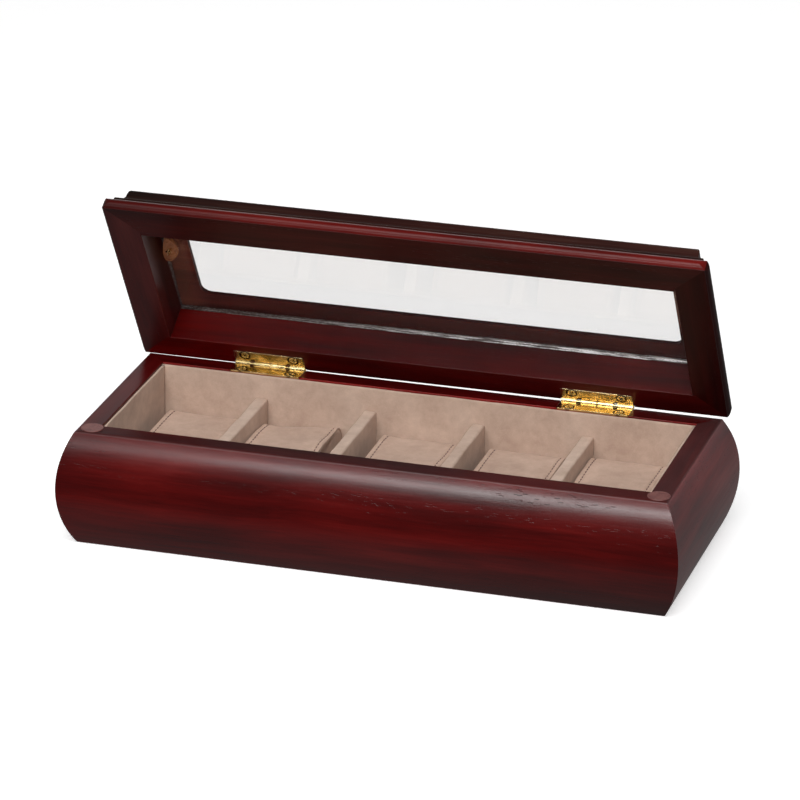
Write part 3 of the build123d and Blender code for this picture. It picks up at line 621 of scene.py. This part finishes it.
def inflate():
    """Blow the five cases up with cloth held along the seams; how far every point moved, mm."""
    moved = {}
    objs = []
    for i, (xc, pl, pr, seed) in PILLOWS.items():
        g = BASE.copy()
        # no two cases are filled alike
        g[:, i_seam_l + 1:i_seam_r, :] += (field(BASE, 0.045, seed) * 0.35)[:, i_seam_l + 1:i_seam_r, None] * grid_normals(BASE)[:, i_seam_l + 1:i_seam_r]
        ob = tube_mesh(f"case_{i}", g + np.array([xc, 0, 0]))
        vg = ob.vertex_groups.new(name="held")
        held = [s * C_N + c for s in range(S_N) for c in (i_seam_l, i_seam_r)]
        vg.add(held, 1.0, "REPLACE")
        md = ob.modifiers.new("cloth", "CLOTH")
        st = md.settings
        st.quality = 5
        st.mass = 0.25
        st.tension_stiffness = st.compression_stiffness = 18
        st.shear_stiffness = 6
        st.bending_stiffness = 0.6
        st.air_damping = 2.0
        st.use_pressure = True
        st.uniform_pressure_force = 4.0
        st.effector_weights.gravity = 0.0
        st.vertex_group_mass = "held"
        st.pin_stiffness = 1.0
        md.collision_settings.use_collision = False
        objs.append((i, ob, g + np.array([xc, 0, 0])))
    sc = bpy.context.scene
    sc.frame_start, sc.frame_end = 1, 20
    for f in range(1, 21):
        sc.frame_set(f)
    dg = bpy.context.evaluated_depsgraph_get()
    for i, ob, start in objs:
        ev = ob.evaluated_get(dg)
        me = ev.to_mesh()
        co = np.empty(len(me.vertices) * 3)
        me.vertices.foreach_get("co", co)
        ev.to_mesh_clear()
        moved[i] = co.reshape(S_N, C_N, 3) / MM - start
        me = ob.data
        bpy.data.objects.remove(ob)
        bpy.data.meshes.remove(me)
    sc.frame_set(1)
    return moved


MOVED = inflate()

# fine columns: distance from the seams decides where they are needed
fine = np.concatenate([np.arange(-2.6, 4.6, 0.26)])
xb = np.unique(np.round(np.concatenate([-P_HB + fine[fine >= 0], np.linspace(-P_HB + 4.6, P_HB - 4.6, 20), P_HB - fine[fine >= 0]]), 3))


def station():
    """Fine columns as (kind, value, distance inwards from the nearer seam, mm; negative on the end panel)."""
    cols = []
    half = (P_HIGH - P_LOW) / 2
    qs = np.concatenate([np.array([0.05, 0.15, 0.26, 0.37, 0.48, 0.59, 0.70, 0.79]), 1 - np.arange(2.6, 0.05, -0.26) / half])
    for q in qs:
        cols.append(("L", q, -(1 - q) * half))
    for x in xb:
        cols.append(("B", x, P_HB - abs(x)))
    for q in qs[::-1]:
        cols.append(("R", q, -(1 - q) * half))
    return cols


STN = station()
run_base = np.array([(-P_HB - (1 - v) * 15.0) if t == "L" else (P_HB + (1 - v) * 15.0) if t == "R" else v for t, v in TAGS])
run_fine = np.array([(-P_HB - (1 - v) * 15.0) if t == "L" else (P_HB + (1 - v) * 15.0) if t == "R" else v for t, v, _ in STN])
S_F = 216
stitch_pieces = []
for i, (xc, puff_l, puff_r, seed) in PILLOWS.items():
    mv = MOVED[i].copy()
    n0 = grid_normals(BASE)
    out = (mv * n0).sum(2)
    band = out[:, i_seam_l + 1:i_seam_r]
    mv[:, i_seam_l + 1:i_seam_r] *= 1.25 / max(np.percentile(band, 98), 0.15)
    for sl, puff in ((slice(0, i_seam_l), puff_l), (slice(i_seam_r + 1, C_N), puff_r)):
        top = max(np.percentile(np.abs(mv[:, sl, 0]), 98), 0.15)
        mv[:, sl] *= puff / top
    size = np.linalg.norm(mv, axis=2, keepdims=True)
    mv *= np.minimum(1.0, 4.0 / np.maximum(size, 1e-6))
    g = BASE + mv
    g[:, i_seam_l], g[:, i_seam_r] = BASE[:, i_seam_l], BASE[:, i_seam_r]
    if puff_l < 1:
        # pressed against the partition on its left
        g[:, :i_seam_l, 0] = np.maximum(g[:, :i_seam_l, 0], -P_HB - puff_l)
    g = wrap_rows(g, S_F)
    g = hermite(run_base, g.transpose(1, 0, 2), run_fine).transpose(1, 0, 2)
    n = grid_normals(g)
    dist = np.array([d for _, _, d in STN])
    side = np.array([1 if t == "L" or (t == "B" and v < 0) else 2 for t, v, _ in STN])
    prof = (0.30 * np.exp(-((dist - 1.25) / 0.85) ** 2) - 0.34 * np.exp(-((dist - STITCH) / 0.42) ** 2)
            + 0.16 * np.exp(-((dist - STITCH - 1.5) / 1.1) ** 2)
            - 0.80 * np.exp(-((dist + 0.12) / 0.36) ** 2) + 0.22 * np.exp(-((dist + 1.3) / 0.8) ** 2))
    arc = np.arange(S_F) / S_F * (2 * (P_DEPTH + P_HIGH - P_LOW) - 8 * P_ROUND + 2 * math.pi * P_ROUND)
    pucker = np.zeros((S_F, len(STN)))
    for sd in (1, 2):
        ph = seed * 1.7 + sd * 2.1
        wave = np.sin(arc * math.tau / 5.1 + ph + 1.6 * np.sin(arc / 17.0 + ph)) * (0.5 + 0.5 * np.sin(arc / 23.0 + 2 * ph))
        fall = np.where((side == sd) & (dist > 0), np.exp(-((dist - 3.4) / 3.6) ** 2), 0) + np.where((side == sd) & (dist <= 0), 0.8 * np.exp(-((dist + 2.6) / 2.4) ** 2), 0)
        pucker += wave[:, None] * fall[None, :] * 0.09
    soft = field(g, 0.055, seed + 1) * 0.38 + field(g, 0.13, seed + 2) * 0.16
    soft *= smooth01(np.abs(dist) / 5.0)[None, :]
    g = g + n * (prof[None, :] + pucker + soft)[:, :, None]
    if i == 2:
        # its back left corner is pushed down, and the right side stands a little proud
        k = smooth01((g[:, :, 1] - 14) / 30) * smooth01((16 - g[:, :, 0]) / 34) * smooth01((g[:, :, 2] - 12) / 20)
        g[:, :, 2] -= 1.7 * k
        g[:, :, 1] -= 1.2 * k
        g[:, :, 2] += (0.6 + 0.7 * smooth01((g[:, :, 0] + 4) / 24)) * smooth01((g[:, :, 2] - 12) / 20)
    if i == 5:
        g[:, :, 2] += 1.5 * smooth01((g[:, :, 2] - 12) / 20)
    if i in (1, 3, 4):
        k = smooth01((g[:, :, 2] - 12) / 20)
        g[:, :, 2] += k * (0.35 * np.sin(seed) * g[:, :, 0] / P_HB + 0.3 * np.cos(seed) * g[:, :, 1] / 42)
    g[:, :, 2] = np.clip(g[:, :, 2], 6.72, 40.6)
    g[:, :, 1] = np.clip(g[:, :, 1], -43.4, 43.3)
    g[:, :, 0] += xc
    ob = tube_mesh(f"pillow_{i}", g)
    dress(ob, M["pillow"])
    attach(ob, f"pillow_{i}")
    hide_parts(f"pillow_{i}_cover", f"pillow_{i}_foam")
    # topstitching: one dash of thread after another round both edges of the band
    n = grid_normals(g)
    rnd = random.Random(int(seed))
    verts, faces = [], []
    for sd in (1, 2):
        k = int(np.argmin(np.where((side == sd) & (dist > 0), np.abs(dist - STITCH), 99)))
        line, ln = g[:, k], n[:, k]
        step = np.linalg.norm(np.roll(line, -1, 0) - line, axis=1)
        cum = np.concatenate([[0], np.cumsum(step)])
        total = cum[-1]
        count = int(round(total / 3.15))

        def at(t):
            t = t % total
            j = int(np.searchsorted(cum, t, side="right") - 1)
            f = (t - cum[j]) / max(step[j], 1e-6)
            a, b = line[j], line[(j + 1) % S_F]
            m = ln[j] * (1 - f) + ln[(j + 1) % S_F] * f
            return a * (1 - f) + b * f, m / np.linalg.norm(m)
        for q in range(count):
            t0 = total * q / count + rnd.uniform(-0.12, 0.12)
            length = 2.35 + rnd.uniform(-0.15, 0.15)
            rings = []
            for f in np.linspace(0, 1, 6):
                p, m = at(t0 + f * length)
                p2, _ = at(t0 + f * length + 0.2)
                d = p2 - p
                d /= np.linalg.norm(d)
                w = np.cross(d, m)
                lift = 0.20 * math.sin(math.pi * f) - 0.10
                r = 0.30 * (0.55 + 0.45 * math.sin(math.pi * f))
                c0 = p + m * lift
                rings.append([c0 + (w * math.cos(a) + m * math.sin(a)) * r for a in np.arange(6) * math.tau / 6])
            b = len(verts)
            for ring_ in rings:
                verts.extend(tuple(v * MM) for v in ring_)
            for u in range(5):
                for v in range(6):
                    faces.append((b + u * 6 + v, b + u * 6 + (v + 1) % 6, b + (u + 1) * 6 + (v + 1) % 6, b + (u + 1) * 6 + v))
            faces.append(tuple(b + v for v in reversed(range(6))))
            faces.append(tuple(b + 30 + v for v in range(6)))
    me = bpy.data.meshes.new(f"pillow_{i}_stitches")
    me.from_pydata(verts, [], faces)
    for p in me.polygons:
        p.use_smooth = True
    so = bpy.data.objects.new(f"pillow_{i}_stitches", me)
    COL.objects.link(so)
    dress(so, M["thread"])
    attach(so, f"pillow_{i}")

# partitions: card wrapped in suede over a little wadding, hand folded, never quite straight
FLOOR_Z, DIV_Z = 6.5, 47.0
Y_FRONT, Y_BACK = -43.8, 43.8
for i, xc in enumerate((-86.0, -28.6, 28.3, 84.7), 1):
    hw, r = 3.12, 1.05
    sect = [(-hw, z) for z in np.linspace(FLOOR_Z + 0.05, DIV_Z - r, 16)[:-1]]
    sect += [(-hw + r - r * math.cos(a), DIV_Z - r + r * math.sin(a)) for a in np.linspace(0, math.pi / 2, 7)]
    sect += [(x, DIV_Z) for x in np.linspace(-hw + r, hw - r, 4)[1:-1]]
    sect += [(hw - r + r * math.sin(a), DIV_Z - r + r * math.cos(a)) for a in np.linspace(0, math.pi / 2, 7)]
    sect += [(hw, z) for z in np.linspace(DIV_Z - r, FLOOR_Z + 0.05, 16)[1:]]
    sect = np.array(sect)
    ys = np.linspace(Y_FRONT - 0.2, Y_BACK + 0.2, 76)
    g = np.zeros((len(sect), len(ys), 3))
    g[:, :, 0] = sect[:, 0][:, None]
    g[:, :, 1] = ys[None, :]
    g[:, :, 2] = sect[:, 1][:, None]
    n = grid_normals(g)
    n[:, :, 1] = 0
    high = smooth01((g[:, :, 2] - 26) / 18)
    wob = field(g * np.array([1, 1, 0.4]), 0.055, i * 3.3) * 0.34 * (0.35 + 0.65 * high) + field(g, 0.16, i * 5.1) * 0.16 * high
    edge = np.minimum(1, np.minimum(ys - ys[0], ys[-1] - ys) / 5.0)
    g += n * (wob * edge[None, :])[:, :, None]
    # the top runs a little high and low, and leans a touch
    run = np.array([noise.noise(Vector((y * 0.028, i * 9.7, 0.3))) for y in ys])
    lean = np.array([noise.noise(Vector((y * 0.021, i * 4.1, 7.3))) for y in ys])
    g[:, :, 2] += high * (0.42 * run)[None, :]
    g[:, :, 0] += high * (0.5 * lean)[None, :]
    # the covering is drawn down into the corner at both ends
    tuck = np.exp(-((ys - ys[-1]) / 1.3) ** 2) + np.exp(-((ys - ys[0]) / 1.3) ** 2)
    g[:, :, 2] -= high * (0.55 * tuck)[None, :]
    g[:, :, 0] += xc
    ob = tube_mesh(f"partition_{i}", g)
    dress(ob, M["divider"])
    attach(ob, "base")
    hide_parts(f"divider_{i}")

# wall linings: suede over card, turned over along the top
LIN_Z, LIN_T = 58.75, 1.5
IXW, IYF, IYR = 139.5, 45.3, 45.3


def wall_lining(name, node, start, end, inward, seed):
    """A thin upholstered panel from start to end (x, y) on the wall's face, thick towards inward."""
    start, end, inward = np.array(start), np.array(end), np.array(inward)
    length = np.linalg.norm(end - start)
    d = (end - start) / length
    r = 0.72
    sect = [(0.03, FLOOR_Z + 0.05), (0.03, LIN_Z - r)]
    sect += [(r - (r - 0.03) * math.cos(a), LIN_Z - r + r * math.sin(a)) for a in np.linspace(0, math.pi / 2, 5)[1:]]
    sect += [(LIN_T - r + r * math.sin(a), LIN_Z - r + r * math.cos(a)) for a in np.linspace(0, math.pi / 2, 6)[1:]]
    sect += [(LIN_T, z) for z in np.linspace(LIN_Z - r - 1.2, FLOOR_Z + 0.05, 24)]
    sect = np.array(sect)
    ts = np.linspace(0, length, max(8, int(length / 2.2)))
    g = np.zeros((len(sect), len(ts), 3))
    for k, t in enumerate(ts):
        g[:, k, :2] = (start + d * t)[None, :] + sect[:, 0][:, None] * inward[None, :]
        g[:, k, 2] = sect[:, 1]
    face = smooth01((sect[:, 0] - 0.3) / 0.9)[:, None]
    w = field(g, 0.035, seed) * 0.30 + field(g, 0.11, seed + 1) * 0.10
    edge = np.minimum(1, np.minimum(ts, length - ts) / 4.0)[None, :]
    w = w * face * edge
    g[:, :, :2] += (w[:, :, None] - 0.12 * face[:, :, None] * edge[:, :, None]) * inward[None, None, :]
    top = smooth01((sect[:, 1] - LIN_Z + 6) / 6)[:, None]
    g[:, :, 2] += top * (0.16 * np.array([noise.noise(Vector((t * 0.05, seed, 2.0))) for t in ts]))[None, :]
    ob = tube_mesh(name, g)
    dress(ob, M["lining"])
    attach(ob, "base")
    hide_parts(node)


wall_lining("lining_rear", "rear_lining", (-IXW, IYR), (IXW, IYR), (0, -1), 3.0)
wall_lining("lining_front", "front_lining", (IXW, -IYF), (-IXW, -IYF), (0, 1), 5.0)
wall_lining("lining_left", "left_lining", (-IXW, -IYF + LIN_T), (-IXW, IYR - LIN_T), (1, 0), 7.0)
wall_lining("lining_right", "right_lining", (IXW, IYR - LIN_T), (IXW, -IYF + LIN_T), (-1, 0), 9.0)

# floor lining: the same suede laid on the bottom, with a shallow give
gx, gy = np.linspace(-IXW, IXW, 120), np.linspace(-IYF, IYR, 40)
top = np.stack(np.meshgrid(gx, gy, indexing="ij"), axis=2)
top = np.dstack([top, np.full(top.shape[:2], FLOOR_Z - 0.12)])
top[:, :, 2] += field(top, 0.06, 13.0) * 0.10
fv = [tuple(v * MM) for v in top.reshape(-1, 3)]
nf = len(fv)
fv += [(v[0], v[1], 5.02 * MM) for v in fv]
ff = []
for a in range(119):
    for b in range(39):
        q = (a * 40 + b, (a + 1) * 40 + b, (a + 1) * 40 + b + 1, a * 40 + b + 1)
        ff.append(q)
        ff.append(tuple(nf + v for v in reversed(q)))
rim = [(a * 40, (a + 1) * 40) for a in range(119)] + [(119 * 40 + b, 119 * 40 + b + 1) for b in range(39)]
rim += [((a + 1) * 40 + 39, a * 40 + 39) for a in reversed(range(119))] + [(b + 1, b) for b in reversed(range(39))]
for a, b in rim:
    ff.append((b, a, nf + a, nf + b))
me = bpy.data.meshes.new("lining_floor")
me.from_pydata(fv, [], ff)
bm = bmesh.new()
bm.from_mesh(me)
bmesh.ops.recalc_face_normals(bm, faces=bm.faces)
bm.to_mesh(me)
bm.free()
ob = bpy.data.objects.new("lining_floor", me)
COL.objects.link(ob)
dress(ob, M["lining"])
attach(ob, "base")
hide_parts("floor_lining")

# ------------------------------------------------------------------ bead of sealant round the pane
LTH = math.radians(59.3)
PV_Y, PV_Z, LID_EDGE, LID_Z = 56.0, 59.77, 56.1, 60.0
SKEW = math.radians(-0.3)


def lid_point(x, u, w):
    """x, distance from the lid's back edge, height above its underside -> row frame at rest, mm."""
    dy, dz = LID_EDGE - u - PV_Y, LID_Z + w - PV_Z
    x, dy = x * math.cos(SKEW) - dy * math.sin(SKEW), x * math.sin(SKEW) + dy * math.cos(SKEW)
    return np.array([x, PV_Y + dy * math.cos(LTH) + dz * math.sin(LTH), PV_Z - dy * math.sin(LTH) + dz * math.cos(LTH)])


REC_U, REC_X, PANE_W = 56.1 - 41.2, 136.45, 20.28


def bead(name, path, inward, width, seed):
    """Fillet of clear sealant in the corner of the recess wall and the pane; path gives (x, u), inward the way off the wall."""
    rows = []
    for k, (x, u) in enumerate(path):
        wv = width[k] * (1 + 0.10 * noise.noise(Vector((k * 0.09, seed, 0.7))) + 0.05 * noise.noise(Vector((k * 0.5, seed, 3.7))))
        hv = 0.62 * wv
        ring_ = []
        for t in np.linspace(0, 1, 7):
            # hollow to slightly full skin between the wall and the pane
            a = wv * (1 - t) ** 1.25
            b = hv * t ** 1.25
            ring_.append((x + inward[0] * a, u + inward[1] * a, PANE_W - b))
        ring_.append((x - inward[0] * 0.05, u - inward[1] * 0.05, PANE_W - hv))
        ring_.append((x - inward[0] * 0.05, u - inward[1] * 0.05, PANE_W - 0.01))
        ring_.append((x + inward[0] * wv, u + inward[1] * wv, PANE_W - 0.01))
        rows.append([lid_point(*p) for p in ring_])
    ob = tube_mesh(name, np.array(rows).transpose(1, 0, 2))
    dress(ob, M["sealant"])
    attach(ob, "lid")
    return ob


nx = 190
bead("sealant_back", [(x, REC_U) for x in np.linspace(-REC_X, REC_X, nx)], (0, 1),
     [2.1] * nx, 2.0)
bead("sealant_left", [(-REC_X, u) for u in np.linspace(REC_U, 56.1 + 39.1, 60)], (1, 0), [0.75 + 0.75 * min(1, k / 26) for k in range(60)], 4.0)
bead("sealant_right", [(REC_X, u) for u in np.linspace(REC_U, 56.1 + 39.1, 60)], (-1, 0), [0.9] * 60, 6.0)
bead("sealant_front", [(x, 56.1 + 39.1) for x in np.linspace(-REC_X, REC_X, nx)], (0, -1), [1.0] * nx, 8.0)

# ------------------------------------------------------------------ camera
AZ, EL, ROLL = math.radians(16.685), math.radians(21.798), math.radians(0.32)
back = Vector((math.sin(AZ) * math.cos(EL), -math.cos(AZ) * math.cos(EL), math.sin(EL)))
right = Vector((math.cos(AZ), math.sin(AZ), 0.0))
up = back.cross(right)
cr = math.cos(ROLL) * right + math.sin(ROLL) * up
cu = -math.sin(ROLL) * right + math.cos(ROLL) * up
where = (0.494 * cr + 67.556 * cu + 2522.177 * back) * MM
cam_data = bpy.data.cameras.new("camera")
cam_data.sensor_width = 36.0
cam_data.lens = 36.0 * 5063.736 / 800
cam_data.clip_start, cam_data.clip_end = 0.1, 50.0
cam = bpy.data.objects.new("camera", cam_data)
m = Matrix((cr, cu, back)).transposed().to_4x4()
m.translation = where
cam.matrix_world = m
bpy.context.scene.collection.objects.link(cam)
bpy.context.scene.camera = cam

# ------------------------------------------------------------- light, floor
bpy.context.scene.view_settings.view_transform = "Standard"
bpy.context.scene.view_settings.look = "None"


def area(name, direction, dist, size, radiance, color=(1, 1, 1)):
    d = bpy.data.lights.new(name, "AREA")
    d.shape = "RECTANGLE"
    d.size, d.size_y = size
    d.energy = radiance * math.pi * size[0] * size[1]
    d.color = color
    o = bpy.data.objects.new(name, d)
    v = Vector(direction).normalized()
    o.location = v * dist + Vector((0, 0, 0.04))
    o.rotation_mode = "QUATERNION"
    o.rotation_quaternion = v.to_track_quat("Z", "Y")
    bpy.context.scene.collection.objects.link(o)
    return o


def sph(az, el):
    """Direction at azimuth az (0 is the front, positive to the right) and elevation el."""
    a, e = math.radians(az), math.radians(el)
    return (math.sin(a) * math.cos(e), -math.cos(a) * math.cos(e), math.sin(e))


area("front_box", sph(-6, 24.5), 2.2, (2.34, 0.30), 1.5)
area("front_box_right", sph(4, 24.5), 2.15, (1.7, 0.18), 14.0)
area("back_low", sph(176, 9), 2.4, (2.6, 0.56), 1.5)
area("front_high", sph(8, 60), 2.0, (1.7, 1.0), 5.9)

world = bpy.data.worlds.new("studio")
bpy.context.scene.world = world
world.use_nodes = True
wt = world.node_tree
wt.nodes.clear()
wo = wt.nodes.new("ShaderNodeOutputWorld")
wb = wt.nodes.new("ShaderNodeBackground")
tc = wt.nodes.new("ShaderNodeTexCoord")
sx = wt.nodes.new("ShaderNodeSeparateXYZ")
wt.links.new(tc.outputs["Generated"], sx.inputs[0])


def sky(stops):
    """Grey level against the height of the direction, -1 to 1."""
    rp = wt.nodes.new("ShaderNodeValToRGB")
    mr = wt.nodes.new("ShaderNodeMapRange")
    wt.links.new(sx.outputs["Z"], mr.inputs["Value"])
    mr.inputs["From Min"].default_value, mr.inputs["From Max"].default_value = -1, 1
    wt.links.new(mr.outputs[0], rp.inputs[0])
    els = rp.color_ramp.elements
    while len(els) < len(stops):
        els.new(0.5)
    for e, (p, v) in zip(els, stops):
        e.position = (p + 1) / 2
        e.color = (v, v, v, 1)
    return rp.outputs[0]


sky_front = sky([(-1.0, 0.24), (-0.6, 0.20), (-0.42, 0.05), (-0.03, 0.04), (0.06, 0.045), (0.5, 0.045), (0.62, 0.05), (0.8, 0.16), (1.0, 0.03)])
sky_back = sky([(-1.0, 0.22), (-0.6, 0.22), (-0.42, 0.26), (-0.03, 0.22), (0.06, 0.18), (0.6, 0.16), (0.8, 0.06), (1.0, 0.03)])
fb = wt.nodes.new("ShaderNodeMapRange")
wt.links.new(sx.outputs["Y"], fb.inputs["Value"])
fb.inputs["From Min"].default_value, fb.inputs["From Max"].default_value = -0.15, 0.25
mx = wt.nodes.new("ShaderNodeMix")
mx.data_type = "RGBA"
wt.links.new(fb.outputs[0], mx.inputs[0])
wt.links.new(sky_front, mx.inputs[6])
wt.links.new(sky_back, mx.inputs[7])
wt.links.new(mx.outputs[2], wb.inputs[0])
wb.inputs["Strength"].default_value = 1.0
wt.links.new(wb.outputs[0], wo.inputs[0])

fm = bmesh.new()
R = 6.0
ring = [fm.verts.new((R * math.cos(a * math.tau / 64), R * math.sin(a * math.tau / 64), 0)) for a in range(64)]
fm.faces.new(ring)
floor_mesh = bpy.data.meshes.new("floor")
fm.to_mesh(floor_mesh)
floor = bpy.data.objects.new("floor", floor_mesh)
bpy.context.scene.collection.objects.link(floor)
fg = Graph("floor_paper")
fn = fg.noise(fg.coord(), 30, 3.0, 0.5)
fg.set(Base_Color=fg.mix(fn, (0.88, 0.88, 0.88), (0.91, 0.91, 0.91)), Roughness=0.9, Specular_IOR_Level=0.1,
       Emission_Color=(1, 1, 1), Emission_Strength=0.56)
dress(floor, fg.mat)
floor.visible_glossy = False
floor.visible_diffuse = False
